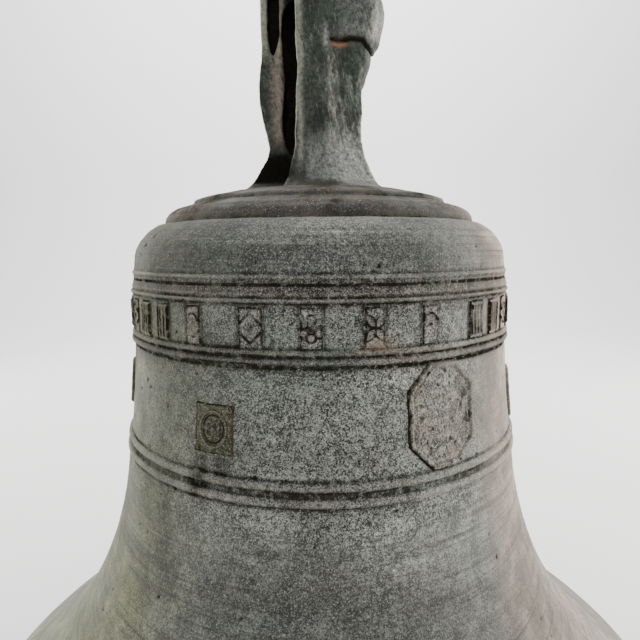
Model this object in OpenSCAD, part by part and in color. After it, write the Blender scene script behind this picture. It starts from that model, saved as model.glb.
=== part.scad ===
// Church bell with a six-armed crown and a clapper hung on a leather baldric.
// Origin: centre of the mouth, on the plane that the lip stands on. +Z runs up the bell's axis.
// Azimuth 0 is the front (-Y), and azimuths grow towards the right (+X).

/* [Bell body] */
// Diameter across the mouth
mouth_d = 550; // [544:1:556]
// Radius of the wall behind the frieze
frieze_r = 142.2; // [141.8:0.1:142.6]
// Height of the flat top that the crown stands on
plate_z = 401; // [400.6:0.1:401.4]
// Height of the ceiling inside the bell
ceiling_z = 385; // [384:0.5:386]

/* [Ornament] */
// Height of the frieze tiles' lower edge
tile_z = 304.6; // [304.5:0.1:305]
// Height of one frieze tile
tile_h = 23.2; // [21:0.1:23.4]
// How far a frieze tile stands out of the wall
tile_t = 1.3; // [1:0.1:1.6]
// How far the pattern on a tile or plaque stands out of its plate
motif_t = 1.1; // [0.6:0.1:1.4]
// Width of the octagonal medallion along the wall
medallion_w = 50; // [46:1:56]
// Height of the octagonal medallion
medallion_h = 63; // [58:1:63]

/* [Crown] */
// Height where the canons curve in to the argent
canon_top_z = 560; // [558:0.5:561]
// Diameter of the argent's post
argent_d = 27; // [26:0.5:28]
// Diameter of the eye through the argent's head
eye_d = 22; // [18:1:24]
// Thickness of the argent's head along its eye
head_t = 26; // [22:1:27]
// Turn of the crown about the bell's axis
crown_turn = -6; // [-9:1:-3]

/* [Clapper] */
// Height of the staple's crossbar, which the strap swings on
staple_z = 352; // [350:1:353]
// Diameter of the staple's bar
staple_d = 16; // [14:1:17]
// Height of the baldric bolt, which the clapper swings on
bolt_z = 262; // [260:1:264]
// Diameter of the baldric bolt
bolt_d = 14; // [12:1:15]
// Radial play of each round pin in its hole
running_gap = 0.05; // [0.02:0.01:0.09]
// Radius of the clapper's ball
ball_r = 33; // [30:0.5:34]
// Height of the ball's centre
ball_z = 57; // [56:0.5:60]

/* [Hidden] */
$fn = 72;

bronze = "#8a8c7c";
dark_bronze = "#6f7468";
iron = "#4a4440";
leather_tan = "#8a5a34";
oak = "#9a7446";
bush_bronze = "#b08a4a";

lip_r = mouth_d / 2;

// Outer wall from the lip to the shoulder, [radius, height]
OUTER = [
    [lip_r, 3.5], [263, 14], [247, 26.5], [228, 42], [212.5, 58.5], [199, 76],
    [184.5, 99], [171.8, 125], [162.6, 150], [157, 171], [153, 192], [150.2, 213],
    [148.3, 228], [146.4, 242], [144.8, 258.5], [143.3, 275], [frieze_r, 292]
];
// Shoulder from the top of the frieze to the foot of the stepped plate, [radius, height]
SHOULDER = [
    [frieze_r, 334], [141, 343], [139.9, 352], [138.6, 359.5], [134.7, 366.8],
    [128.5, 373.2], [122.5, 377]
];
// Steps of the plate that carries the crown, [radius, height]
STEPS = [
    [117.8, 377.6], [117, 381.4], [114.6, 385.2], [110, 388.2], [102.5, 390.6],
    [97.2, 392.2], [96, 395.2], [90, 397], [81, 398.8], [72, plate_z]
];
// Inner wall from the ceiling down to the lip, [radius, height]
INNER = [
    [55, ceiling_z], [80, 383], [98, 377], [113, 367], [122.5, 355], [126.2, 343],
    [128.8, 305], [130.8, 275], [133.6, 242], [138.6, 200], [143.5, 170], [148.7, 146],
    [156, 118], [161.5, 100], [167.5, 80], [174, 61], [181, 46], [190, 34.5],
    [203, 25], [222, 16.5], [244, 8.5], [lip_r - 9, 0]
];

// One Catmull-Rom point between b and c at fraction t
function cr(a, b, c, d, t) = 0.5 * (2 * b + (c - a) * t + (2 * a - 5 * b + 4 * c - d) * t * t
    + (3 * b - a - 3 * c + d) * t * t * t);
// A smooth run through the stations p, with n pieces between each two
function smooth(p, n) = let (e = len(p) - 1) concat(
    [for (i = [0 : e - 1]) for (j = [0 : n - 1])
        cr(p[max(i - 1, 0)], p[i], p[i + 1], p[min(i + 2, e)], j / n)], [p[e]]);

OUTER_LINE = concat([[lip_r - 3, 0]], smooth(OUTER, 3), smooth(SHOULDER, 2), STEPS);
INNER_LINE = smooth(INNER, 2);

// Puts something built along +X at an azimuth of the bell
module at(azimuth) {
    rotate([0, 0, azimuth - 90])
        children();
}

// Extrudes a flat drawing along +X, with its x across the wall and its y up
module outward(from, to) {
    translate([from, 0, 0])
        rotate([90, 0, 90])
            linear_extrude(to - from)
                children();
}

// The bell as a solid, without its hollow and its beads
module solid_form() {
    rotate_extrude($fn = 240)
        polygon(concat([[0, 0]], OUTER_LINE, [[0, plate_z]]));
}

// The waist's own line, moved outwards by t and simplified to three cones
module waist_skin(t) {
    rotate_extrude($fn = 240)
        polygon([[100, 205], [151.5 + t, 205], [148.3 + t, 228], [144.7 + t, 260],
            [142.5 + t, 292], [142.5 + t, 310], [100, 310]]);
}

// Section of a bead that runs round the wall
module bead(r, z, radius) {
    translate([r, z])
        circle(r = radius);
}

// Beads round the wall, [radius of the bead's centre, height, radius of its section]
BEADS = [
    [140.4, 344, 1.5], [141.2, 334.8, 1.3], [frieze_r, 331.2, 1.2],
    [frieze_r - 0.6, 302.2, 2.1], [frieze_r - 0.6, 297.8, 2.6],
    [147.4, 228, 2.9], [148.4, 219.4, 3]
];

module wall_section() {
    difference() {
        polygon(concat(OUTER_LINE, [[0, plate_z], [0, ceiling_z]], INNER_LINE));
        // grooves under the shoulder, below the frieze and between the double moulding's beads
        bead(frieze_r + 0.8, 339.8, 2);
        bead(frieze_r + 1.2, 300.3, 1.2);
        bead(150.4, 222.6, 1.3);
    }
    for (b = BEADS)
        bead(b[0], b[1], b[2]);
}

module bell_shell() {
    color(bronze)
        difference() {
            rotate_extrude($fn = 240)
                wall_section();
            // sockets that the staple's legs are cast into
            for (side = [-1, 1])
                translate([0, side * leg_y, ceiling_z - 4])
                    cylinder(d = staple_d, h = leg_top - ceiling_z + 4);
        }
}

// Crown: the canons' azimuths before the crown's turn
AZ_FRONT = 2;
AZ_FRONT_RIGHT = 33;
AZ_BACK_RIGHT = 110;
AZ_BACK = 180;
AZ_BACK_LEFT = 232;
AZ_FRONT_LEFT = 278;
// Seam between the two right canons, and the azimuth and reach of the front one's knuckle
AZ_RIGHT_SEAM = 86;
AZ_KNUCKLE = 56;
knuckle_reach = 33.4;

// Heights at which each canon's outer face and half width are set
CANON_Z = [436, 458, 480, 503, 526, 541];

// Inner face of every canon, [radius, height], downwards round the gap behind it
INNER_FACE = smooth([[10, 541], [19, 539.5], [25, 533], [27, 518], [25, 480], [27, 456],
    [26, 443], [21, 431], [10, 426]], 2);

// Side of a canon, [radius, height], from its foot up the outer face r and down its inner face
function canon_side(foot, r) = concat(
    smooth([[foot, plate_z], [r[0] + (foot - r[0]) * 0.6, 405.5],
        [r[0] + (foot - r[0]) * 0.36, 412.5], [r[0] + (foot - r[0]) * 0.17, 423],
        for (i = [0 : 5]) [r[i], CANON_Z[i]],
        [r[5] * 0.93, 549], [r[5] * 0.7, 556], [10, canon_top_z]], 2),
    INNER_FACE, [[10, plate_z]]);

// Front of a canon, [across, height], half of it
function canon_front_half(w) = smooth([[w[0] + 9, plate_z], [w[0] + 4, 410], [w[0] + 1.5, 424],
    for (i = [0 : 5]) [w[i], CANON_Z[i]], [w[5] - 3, canon_top_z + 1]], 2);

// The wedge of the crown that belongs to one canon
module sector(from, to) {
    half = (to - from) / 2;
    reach = 140;
    at((from + to) / 2)
        translate([0, 0, plate_z])
            linear_extrude(170)
                polygon([[0, 0], [reach, -reach * tan(half)], [reach, reach * tan(half)]]);
}

// One canon: foot is its foot's reach, r its outer face's radii and w its half widths.
// Children are cast onto it.
module canon(azimuth, from, to, foot, r, w) {
    front = canon_front_half(w);
    color(dark_bronze)
        rotate([0, 0, crown_turn])
            difference() {
                intersection() {
                    union() {
                        intersection() {
                            at(azimuth)
                                rotate([90, 0, 0])
                                    linear_extrude(2 * max(w) + 30, center = true)
                                        polygon(canon_side(foot, r));
                            at(azimuth)
                                outward(0, 80)
                                    polygon(concat(front, [for (i = [len(front) - 1 : -1 : 0])
                                        [-front[i][0], front[i][1]]]));
                        }
                        children();
                    }
                    sector(from, to);
                }
                translate([0, 0, plate_z - 1])
                    cylinder(d = argent_d, h = 180);
            }
}

function mid(a, b) = (a + b) / 2;

module canon_front() {
    canon(AZ_FRONT, mid(AZ_FRONT_LEFT - 360, AZ_FRONT), mid(AZ_FRONT, AZ_FRONT_RIGHT), 52,
        [40.5, 41, 41.5, 42.5, 43.5, 42], [14, 12.8, 11.8, 12, 12.3, 12.3]);
}

// Swollen knuckle of the front right canon, with a ledge on its underside
module knuckle() {
    difference() {
        at(AZ_KNUCKLE)
            translate([knuckle_reach, 0, 0])
                rotate_extrude()
                    polygon(concat([[0, 462]],
                        smooth([[2.4, 462], [5.6, 471], [9.5, 480.5], [12.6, 491], [14, 501]], 2),
                        smooth([[16.6, 503], [18.2, 510], [20.4, 519], [20.7, 527], [18.3, 536],
                            [11.5, 547], [4, 553]], 2),
                        [[0, 553]]));
        rotate_extrude()
            polygon(concat([[0, 541]], INNER_FACE, [[0, 426]]));
    }
}

module canon_front_right() {
    canon(AZ_FRONT_RIGHT, mid(AZ_FRONT, AZ_FRONT_RIGHT), AZ_RIGHT_SEAM, 60,
        [37.2, 37.2, 37.4, 37.8, 39.5, 38.5], [17.6, 17.4, 17.2, 17, 17, 16])
        knuckle();
}

module canon_back_right() {
    canon(AZ_BACK_RIGHT, AZ_RIGHT_SEAM, mid(AZ_BACK_RIGHT, AZ_BACK), 60,
        [33, 32, 32.5, 35, 39, 38], [11, 10.5, 10.5, 11, 12, 12]);
}

module canon_back() {
    canon(AZ_BACK, mid(AZ_BACK_RIGHT, AZ_BACK), mid(AZ_BACK, AZ_BACK_LEFT), 56,
        [40, 40, 41.5, 43, 44, 42], [14, 13, 13, 13.5, 14, 13.5]);
}

module canon_back_left() {
    canon(AZ_BACK_LEFT, mid(AZ_BACK, AZ_BACK_LEFT), mid(AZ_BACK_LEFT, AZ_FRONT_LEFT), 60,
        [38, 38, 40, 42, 42, 41], [11, 10.5, 11, 11.5, 12, 12]);
}

// The left canon has a tapered recess in the side that faces the front
module canon_front_left() {
    difference() {
        canon(AZ_FRONT_LEFT, mid(AZ_BACK_LEFT, AZ_FRONT_LEFT), mid(AZ_FRONT_LEFT, AZ_FRONT + 360),
            67, [37.8, 43, 44.8, 42.8, 42.6, 42.6], [10, 9.5, 9.5, 9.5, 10, 10]);
        rotate([0, 0, crown_turn])
            at(AZ_FRONT_LEFT)
                rotate([90, 0, 0])
                    translate([0, 0, -30])
                        linear_extrude(28.5)
                            polygon([[33.6, 499], [37, 517], [37, 549], [28.6, 549],
                                [28.6, 517]]);
    }
}

head_r = 21;
head_z = canon_top_z + 12;

module argent() {
    color(dark_bronze)
        rotate([0, 0, crown_turn])
            difference() {
                union() {
                    translate([0, 0, plate_z])
                        cylinder(d = argent_d, h = canon_top_z - plate_z);
                    intersection() {
                        translate([0, 0, head_z])
                            rotate([90, 0, 0])
                                cylinder(r = head_r, h = head_t, center = true);
                        translate([0, 0, canon_top_z])
                            cylinder(d = 80, h = 60);
                    }
                }
                translate([0, 0, head_z])
                    rotate([90, 0, 0])
                        cylinder(d = eye_d, h = 2 * head_t, center = true);
            }
}

// Ornament
module quatrefoil(s) {
    for (a = [0 : 90 : 270])
        rotate(a)
            translate([s * 0.42, 0])
                circle(r = s * 0.38);
    circle(r = s * 0.3);
}
module lozenge(s) {
    difference() {
        rotate(45)
            square(1.5 * s, center = true);
        rotate(45)
            square(0.9 * s, center = true);
    }
    circle(r = s * 0.26);
}
module rosette(s) {
    for (a = [0 : 60 : 300])
        rotate(a)
            translate([s * 0.62, 0])
                circle(r = s * 0.28);
    circle(r = s * 0.34);
}
module saltire(s) {
    for (a = [45, 135])
        rotate(a)
            square([2.1 * s, s * 0.42], center = true);
    circle(r = s * 0.36);
}
module motif(kind, s) {
    if (kind == 0)
        quatrefoil(s);
    else if (kind == 1)
        lozenge(s);
    else if (kind == 2)
        rosette(s);
    else
        saltire(s);
}

// One tile: a curved plate as wide as the angle w, with a raised motif
module tile(azimuth, w, kind) {
    size = min(8.2, 0.36 * w * PI / 180 * frieze_r);
    at(azimuth) {
        rotate([0, 0, -w / 2])
            rotate_extrude(angle = w)
                translate([frieze_r, tile_z])
                    square([tile_t, tile_h]);
        difference() {
            outward(frieze_r - 2, frieze_r + tile_t + motif_t)
                translate([0, tile_z + tile_h / 2])
                    motif(kind, size);
            cylinder(r = frieze_r, h = 400, $fn = 240);
        }
    }
}

// Middle azimuths of the tiles on the front, which are spaced by eye
FRONT_TILES = [-30.9, -15.6, -1.8, 12.3, 26.2];
front_w = 7.6;
// The rest of the band is filled with evenly spaced tiles
BAND_START = 42;
BAND_END = 318;
BAND_COUNT = 32;

module frieze_tiles() {
    color(bronze) {
        for (i = [0 : len(FRONT_TILES) - 1])
            tile(FRONT_TILES[i], front_w, i % 4);
        for (i = [0 : BAND_COUNT - 1])
            tile(BAND_START + i * (BAND_END - BAND_START) / (BAND_COUNT - 1), front_w, (i + 1) % 4);
    }
}

// Keeps what lies between the wall and t outside it
module on_wall(t) {
    difference() {
        intersection() {
            children();
            waist_skin(t);
        }
        solid_form();
    }
}

STAMP_AZ = -25;
stamp_z = 257;
stamp_w = 26;
stamp_h = 29;
// Distance of the stamp's flat face from the bell's axis
stamp_face = 147.2;

module stamp_plaque() {
    color(bronze)
        at(STAMP_AZ)
            difference() {
                union() {
                    outward(135, stamp_face)
                        translate([0, stamp_z])
                            square([stamp_w, stamp_h], center = true);
                    outward(135, stamp_face + motif_t)
                        translate([0, stamp_z]) {
                            difference() {
                                circle(r = 10.5);
                                circle(r = 8.7);
                            }
                            quatrefoil(5.2);
                        }
                }
                solid_form();
            }
}

MEDALLION_AZ = 30;
medallion_z = 262.8;

// A tall octagon with flat sides on all four edges
module octagon(w, h) {
    cut = 0.33 * w;
    polygon([
        [w / 2, h / 2 - cut], [w / 2 - cut, h / 2], [cut - w / 2, h / 2], [-w / 2, h / 2 - cut],
        [-w / 2, cut - h / 2], [cut - w / 2, -h / 2], [w / 2 - cut, -h / 2], [w / 2, cut - h / 2]
    ]);
}

// A leafed cross, the generic charge of the medallion
module leaf_cross() {
    for (a = [0 : 90 : 270])
        rotate(a) {
            translate([0, 7])
                square([3.2, 14], center = true);
            for (side = [-1, 1])
                translate([side * 3.2, 14])
                    circle(r = 2.6);
            translate([0, 16.5])
                circle(r = 3);
        }
    circle(r = 4.4);
}

module medallion() {
    color(bronze)
        at(MEDALLION_AZ) {
            on_wall(1)
                outward(120, 170)
                    translate([0, medallion_z])
                        octagon(medallion_w, medallion_h);
            on_wall(2.4)
                outward(120, 170)
                    translate([0, medallion_z])
                        difference() {
                            octagon(medallion_w, medallion_h);
                            octagon(medallion_w - 7, medallion_h - 7);
                        }
            on_wall(1.9)
                outward(120, 170)
                    translate([0, medallion_z])
                        leaf_cross();
        }
}

// A round relief with a stepped rim, used on the bell's two sides
module side_relief(azimuth, z, d) {
    color(bronze)
        at(azimuth) {
            on_wall(1.2)
                outward(100, 170)
                    translate([0, z])
                        circle(d = d);
            on_wall(2.6)
                outward(100, 170)
                    translate([0, z]) {
                        difference() {
                            circle(d = d);
                            circle(d = d - 6);
                        }
                        circle(d = d / 2);
                    }
        }
}

module left_relief() {
    side_relief(-77, 262.5, 35);
}
module right_relief() {
    side_relief(77, 252, 40);
}

// Clapper and its hanging, swinging about axes along Y
leg_y = 27;
leg_top = plate_z - 6;
bend_r = 12;
strap_t = 6;
strap_w = 28;
strap_in_r = staple_d / 2 + running_gap;
strap_bottom = 288;
busk_top = 339;
busk_bottom = 289;
busk_play = 8;
garter_top = 333;
cheek_in = 15;
cheek_t = 4;
bridge_z = 284.5;
bridge_t = 5;
cheek_r = 15;
washer_t = 2.5;
bolt_head_h = 8;
rivet_r = 3;
flight_end = 9;

module crown_staple() {
    color(iron) {
        translate([0, 0, staple_z])
            rotate([90, 0, 0])
                cylinder(d = staple_d, h = 2 * (leg_y - bend_r), center = true);
        for (side = [0, 180])
            rotate([0, 0, side]) {
                translate([0, leg_y - bend_r, staple_z + bend_r])
                    rotate([0, 90, 0])
                        rotate_extrude(angle = 90)
                            translate([bend_r, 0])
                                circle(d = staple_d);
                translate([0, leg_y, staple_z + bend_r])
                    cylinder(d = staple_d, h = leg_top - staple_z - bend_r);
            }
    }
}

module across_y(z, r, l) {
    translate([0, 0, z])
        rotate([90, 0, 0])
            cylinder(r = r, h = l, center = true);
}
module across_x(y, z, r, l) {
    translate([0, y, z])
        rotate([0, 90, 0])
            cylinder(r = r, h = l, center = true);
}

STRAP_RIVETS = [[-7, 326], [7, 326], [-7, 299], [7, 299]];
garter_rivet_z = 312.5;

module baldric_strap() {
    color(leather_tan)
        difference() {
            union() {
                across_y(staple_z, strap_in_r + strap_t, strap_w);
                for (side = [-1, 1])
                    translate([side * (strap_in_r + strap_t / 2), 0, (staple_z + strap_bottom) / 2])
                        cube([strap_t, strap_w, staple_z - strap_bottom], center = true);
            }
            across_y(staple_z, strap_in_r, strap_w + 2);
            translate([0, 0, (staple_z + strap_bottom) / 2 - 10])
                cube([2 * strap_in_r, strap_w + 2, staple_z - strap_bottom + 20], center = true);
            for (p = STRAP_RIVETS)
                across_x(p[0], p[1], rivet_r, 60);
        }
}

module busk_block() {
    color(oak)
        difference() {
            translate([-strap_in_r, -cheek_in, busk_bottom])
                cube([2 * strap_in_r, 2 * cheek_in, busk_top - busk_bottom]);
            // hollow that clears the staple's bar
            across_y(staple_z, staple_d / 2 + busk_play, 60);
            for (p = STRAP_RIVETS)
                across_x(p[0], p[1], rivet_r, 60);
            across_y(garter_rivet_z, rivet_r, 60);
        }
}

module garter_iron() {
    color(iron)
        difference() {
            union() {
                for (side = [-1, 1]) {
                    translate([0, side * (cheek_in + cheek_t / 2), bolt_z])
                        rotate([90, 0, 0])
                            cylinder(r = cheek_r, h = cheek_t, center = true);
                    translate([0, side * (cheek_in + cheek_t / 2), (bolt_z + garter_top) / 2])
                        cube([2 * cheek_r, cheek_t, garter_top - bolt_z], center = true);
                }
                translate([0, 0, bridge_z])
                    cube([2 * cheek_r, 2 * cheek_in, bridge_t], center = true);
            }
            across_y(bolt_z, bolt_d / 2, 80);
            across_y(garter_rivet_z, rivet_r, 80);
        }
}

module rivet_heads(l) {
    for (side = [-1, 1])
        translate([0, 0, side * l / 2])
            rotate([side > 0 ? 0 : 180, 0, 0])
                intersection() {
                    translate([0, 0, -rivet_r])
                        sphere(r = 2.1 * rivet_r);
                    cylinder(r = 3 * rivet_r, h = 2 * rivet_r);
                }
    cylinder(r = rivet_r, h = l, center = true);
}

module strap_rivets() {
    color(iron)
        for (p = STRAP_RIVETS)
            translate([0, p[0], p[1]])
                rotate([0, 90, 0])
                    rivet_heads(2 * (strap_in_r + strap_t));
}

module garter_rivets() {
    color(iron)
        translate([0, 0, garter_rivet_z])
            rotate([90, 0, 0])
                rivet_heads(2 * (cheek_in + cheek_t));
}

bolt_in = cheek_in + cheek_t + washer_t;
bolt_end = bolt_in + 12;
slot_y = bolt_in + 3;
wedge_t = 3.5;
wedge_half = 15;
bolt_head_r = 11.5;
washer_r = 13;

module baldric_bolt() {
    color(iron)
        difference() {
            union() {
                translate([0, bolt_end, bolt_z])
                    rotate([90, 0, 0])
                        cylinder(d = bolt_d, h = bolt_end + bolt_in);
                translate([0, -bolt_in, bolt_z])
                    rotate([90, 0, 0])
                        cylinder(r = bolt_head_r, h = bolt_head_h, $fn = 6);
            }
            translate([0, slot_y + 1, bolt_z])
                cube([wedge_t, 8, 40], center = true);
        }
}

module bolt_washers() {
    color(iron)
        for (side = [-1, 1])
            translate([0, side * (cheek_in + cheek_t + washer_t / 2), bolt_z])
                rotate([90, 0, 0])
                    difference() {
                        cylinder(r = washer_r, h = washer_t, center = true);
                        cylinder(d = bolt_d, h = washer_t * 2, center = true);
                    }
}

// The wedge is driven through the slot from above
module forelock_wedge() {
    color(iron)
        translate([wedge_t / 2, 0, bolt_z])
            rotate([0, -90, 0])
                linear_extrude(wedge_t)
                    polygon([[wedge_half, slot_y - 3], [wedge_half, slot_y + 5],
                        [-wedge_half, slot_y + 1.5], [-wedge_half, slot_y - 3]]);
}

eye_half = 13.8;
eye_r = 20;
bush_r = 10.5;

module eye_bush() {
    color(bush_bronze)
        difference() {
            across_y(bolt_z, bush_r, 2 * eye_half);
            across_y(bolt_z, bolt_d / 2 + running_gap, 3 * eye_half);
        }
}

// Half outline of the shank, ball and flight, [radius, height]
CLAPPER_LINE = concat(
    [[0, flight_end], [8, flight_end], [11, flight_end + 3], [12.5, ball_z - ball_r + 2]],
    [for (a = [-58 : 8 : 62]) [ball_r * cos(a), ball_z + ball_r * sin(a)]],
    [[12.5, ball_z + 36], [11, 130], [9.5, 200], [10.5, 236], [12, bolt_z - 14], [0, bolt_z - 14]]);

module clapper() {
    color(iron)
        difference() {
            union() {
                rotate_extrude()
                    polygon(CLAPPER_LINE);
                across_y(bolt_z, eye_r, 2 * eye_half);
            }
            across_y(bolt_z, bush_r, 3 * eye_half);
        }
}

bell_shell();
argent();
canon_front();
canon_front_right();
canon_back_right();
canon_back();
canon_back_left();
canon_front_left();
frieze_tiles();
stamp_plaque();
medallion();
left_relief();
right_relief();
crown_staple();
baldric_strap();
busk_block();
garter_iron();
strap_rivets();
garter_rivets();
baldric_bolt();
bolt_washers();
forelock_wedge();
eye_bush();
clapper();
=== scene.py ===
"""Looks of a cast bronze church bell with a six-armed crown and a clapper on a leather baldric.

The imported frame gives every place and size. Lengths are in metres where nothing else is said, and
MM turns millimetres into metres. Azimuth 0 is the bell's front (-Y) and grows towards +X.
"""
import math

import bpy
import numpy as np
from mathutils import Matrix, Vector
from mathutils.bvhtree import BVHTree


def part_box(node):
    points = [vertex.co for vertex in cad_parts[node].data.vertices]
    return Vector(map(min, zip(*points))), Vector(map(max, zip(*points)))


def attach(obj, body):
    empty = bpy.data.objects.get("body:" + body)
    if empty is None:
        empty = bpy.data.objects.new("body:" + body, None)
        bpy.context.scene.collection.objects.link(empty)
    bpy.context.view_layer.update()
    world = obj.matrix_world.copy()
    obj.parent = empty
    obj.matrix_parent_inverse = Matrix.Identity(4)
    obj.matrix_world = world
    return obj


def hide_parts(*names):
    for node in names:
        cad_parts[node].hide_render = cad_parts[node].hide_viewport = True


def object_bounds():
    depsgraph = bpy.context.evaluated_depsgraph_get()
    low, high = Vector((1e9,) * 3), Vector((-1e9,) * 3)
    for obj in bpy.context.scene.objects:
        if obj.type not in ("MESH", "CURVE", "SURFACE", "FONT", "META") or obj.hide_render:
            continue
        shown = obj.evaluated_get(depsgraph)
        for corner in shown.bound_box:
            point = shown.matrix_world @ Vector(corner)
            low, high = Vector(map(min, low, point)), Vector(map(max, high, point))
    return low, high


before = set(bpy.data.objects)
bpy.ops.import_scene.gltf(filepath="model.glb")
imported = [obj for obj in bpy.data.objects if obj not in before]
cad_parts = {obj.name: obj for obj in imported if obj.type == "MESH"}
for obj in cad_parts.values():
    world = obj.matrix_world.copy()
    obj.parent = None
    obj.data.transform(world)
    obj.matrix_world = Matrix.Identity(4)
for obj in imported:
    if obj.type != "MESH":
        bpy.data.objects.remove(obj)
cad_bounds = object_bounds()

MM = 0.001
MOUTH_R = (cad_bounds[1][0] - cad_bounds[0][0]) / 2
BODY_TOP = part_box("bell_shell")[1][2]
SCENE = bpy.context.scene


# ---- noise and small maths


def lattice(ix, iy, iz, seed):
    """A fixed random value from -1 to 1 for each whole-numbered point."""
    n = (ix.astype(np.uint32) * np.uint32(374761393)
         ^ iy.astype(np.uint32) * np.uint32(668265263)
         ^ iz.astype(np.uint32) * np.uint32(2246822519))
    n = n + np.uint32((seed * 2654435769) % 2**32)
    n = (n ^ (n >> np.uint32(13))) * np.uint32(1274126177)
    n = n ^ (n >> np.uint32(16))
    return n.astype(np.float64) / 2**31 - 1


def noise(p, size, seed=0):
    """Smooth noise from -1 to 1 at the points p, with lumps about size millimetres across."""
    q = p / (size * MM)
    cell = np.floor(q).astype(np.int64)
    f = q - cell
    f = f * f * (3 - 2 * f)
    total = np.zeros(len(p))
    for corner in range(8):
        dx, dy, dz = corner & 1, corner >> 1 & 1, corner >> 2 & 1
        weight = ((f[:, 0] if dx else 1 - f[:, 0])
                  * (f[:, 1] if dy else 1 - f[:, 1])
                  * (f[:, 2] if dz else 1 - f[:, 2]))
        total += weight * lattice(cell[:, 0] + dx, cell[:, 1] + dy, cell[:, 2] + dz, seed)
    return total


def fbm(p, size, seed=0, octaves=3):
    """Noise with finer noise on it, its largest lumps about size millimetres across."""
    total = np.zeros(len(p))
    for k in range(octaves):
        total += noise(p, size / 2**k, seed + 17 * k) / 2**k
    return total / (2 - 2.0**(1 - octaves))


def step(low, high, x):
    """0 below low, 1 above high and smooth between."""
    t = np.clip((x - low) / (high - low), 0, 1)
    return t * t * (3 - 2 * t)


def hump(x, centre, half):
    """1 at the centre, falling smoothly to about a third at half to either side."""
    return np.exp(-((x - centre) / half)**2)


def held(x):
    """A share held between 0 and 1."""
    return np.clip(x, 0, 1)


def wrap(angle):
    """An angle in degrees brought between -180 and 180."""
    return (angle + 180) % 360 - 180


# ---- meshes


def shade_smooth(mesh):
    mesh.polygons.foreach_set("use_smooth", np.ones(len(mesh.polygons), bool))
    mesh.update()


def mesh_object(name, verts, faces, attributes=None):
    mesh = bpy.data.meshes.new(name)
    mesh.from_pydata(np.asarray(verts).tolist(), [], faces)
    for key, values in (attributes or {}).items():
        set_attribute(mesh, key, values)
    shade_smooth(mesh)
    obj = bpy.data.objects.new(name, mesh)
    SCENE.collection.objects.link(obj)
    return obj


def vectors(mesh, key):
    """The places ("co") or the normals of a mesh's points."""
    values = np.zeros(len(mesh.vertices) * 3)
    mesh.vertices.foreach_get(key, values)
    return values.reshape(-1, 3)


def coordinates(mesh):
    return vectors(mesh, "co")


def surface(mesh):
    """The places and the normals of a mesh's points."""
    return coordinates(mesh), vectors(mesh, "normal")


def set_coordinates(mesh, co):
    mesh.vertices.foreach_set("co", co.ravel())
    mesh.update()


def set_attribute(mesh, key, values):
    layer = mesh.attributes.get(key) or mesh.attributes.new(key, "FLOAT", "POINT")
    layer.data.foreach_set("value", np.asarray(values, np.float32))


def finish_piece(obj, body, slot, material, *nodes):
    obj.data.materials.clear()
    obj.data.materials.append(material)
    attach(obj, body)
    if nodes:
        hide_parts(*nodes)


def remeshed(name, nodes, voxel, soften):
    """One closed mesh round the CAD nodes, with even faces a voxel (mm) wide and softened edges."""
    verts, faces = [], []
    for node in nodes:
        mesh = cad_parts[node].data
        base = len(verts)
        verts += [tuple(v.co) for v in mesh.vertices]
        faces += [[base + i for i in p.vertices] for p in mesh.polygons]
    obj = mesh_object(name, verts, faces)
    remesh = obj.modifiers.new("even", "REMESH")
    remesh.mode = "VOXEL"
    remesh.voxel_size = voxel * MM
    smooth = obj.modifiers.new("soften", "SMOOTH")
    smooth.factor = 0.5
    smooth.iterations = soften
    evaluated = obj.evaluated_get(bpy.context.evaluated_depsgraph_get())
    mesh = bpy.data.meshes.new_from_object(evaluated)
    obj.modifiers.clear()
    obj.data = mesh
    mesh.name = name
    shade_smooth(mesh)
    return obj


def neighbours(mesh):
    """The two ends of each edge, and how many edges meet at each point."""
    ends = np.zeros(len(mesh.edges) * 2, np.int64)
    mesh.edges.foreach_get("vertices", ends)
    a, b = ends.reshape(-1, 2).T
    size = len(mesh.vertices)
    return a, b, np.bincount(a, minlength=size) + np.bincount(b, minlength=size)


def neighbour_mean(p, a, b, count):
    total = np.stack([np.bincount(a, p[b, k], len(p)) + np.bincount(b, p[a, k], len(p))
                      for k in range(3)], 1)
    return total / np.maximum(count, 1)[:, None]


def hollowness(mesh, rounds):
    """How far each point lies below its neighbours' mean: positive in hollows, in millimetres."""
    p, n = surface(mesh)
    a, b, count = neighbours(mesh)
    mean = p.copy()
    for _ in range(rounds):
        mean = (mean + neighbour_mean(mean, a, b, count)) / 2
    return np.einsum("ij,ij->i", mean - p, n) / MM


# ---- materials


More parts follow.
